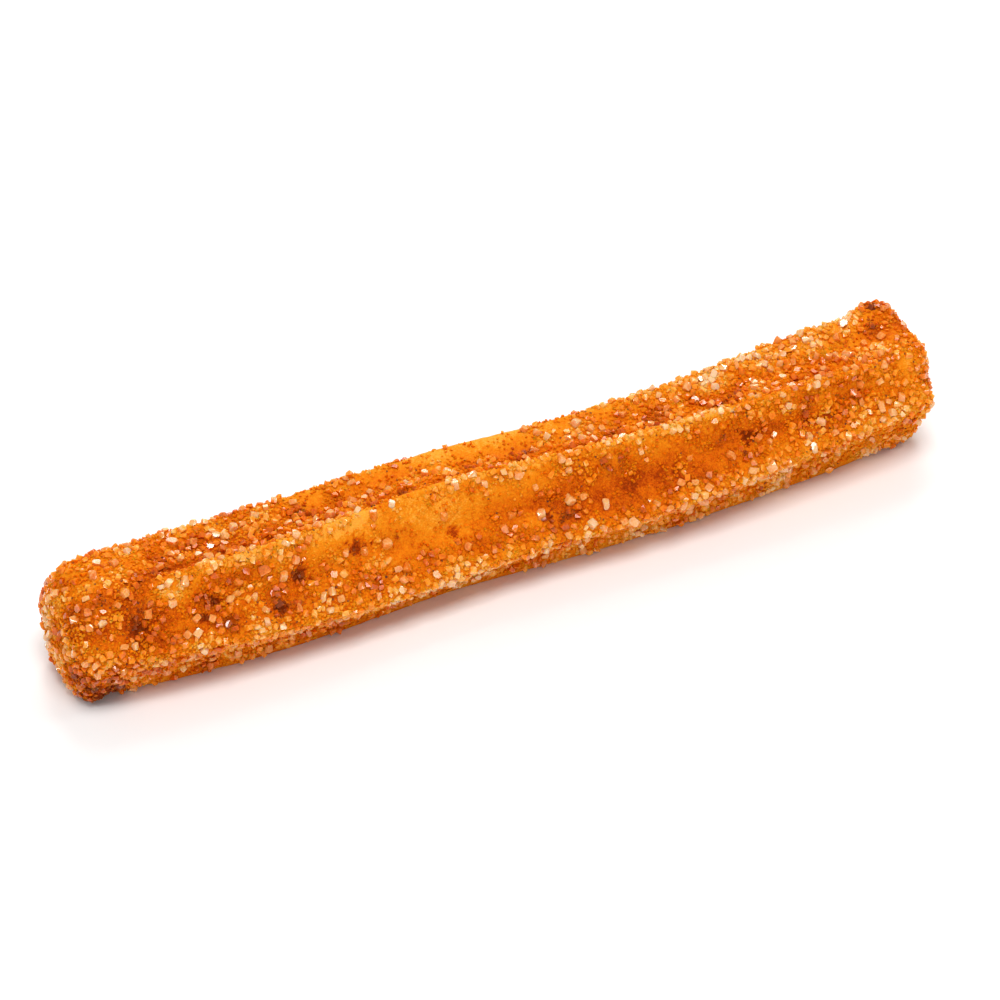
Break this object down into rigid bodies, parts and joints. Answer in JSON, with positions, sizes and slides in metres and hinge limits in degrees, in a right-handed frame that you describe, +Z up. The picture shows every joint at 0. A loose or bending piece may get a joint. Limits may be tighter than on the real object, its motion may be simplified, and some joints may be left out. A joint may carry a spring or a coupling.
{
  "type": "churro",
  "caption": "Straight fried dough stick with six rounded ridges, shallow flutes between them and blunt ends, coated in coarse sugar crystals, lying on two ridges.",
  "frame": {"origin": "on the resting surface, under the middle of the stick's bounding box", "axes": "+X along the stick from its rounder near end to its squarer far end, +Z up, -Y towards the side that the picture shows"},
  "size_m": [0.1375, 0.0231, 0.0189],
  "materials": {
    "sugared_crust": "golden orange fried crust with clear and peach coloured sugar crystals and fine cinnamon specks"
  },
  "bodies": {
    "root": {"churro": "sugared_crust"}
  },
  "joints": []
}
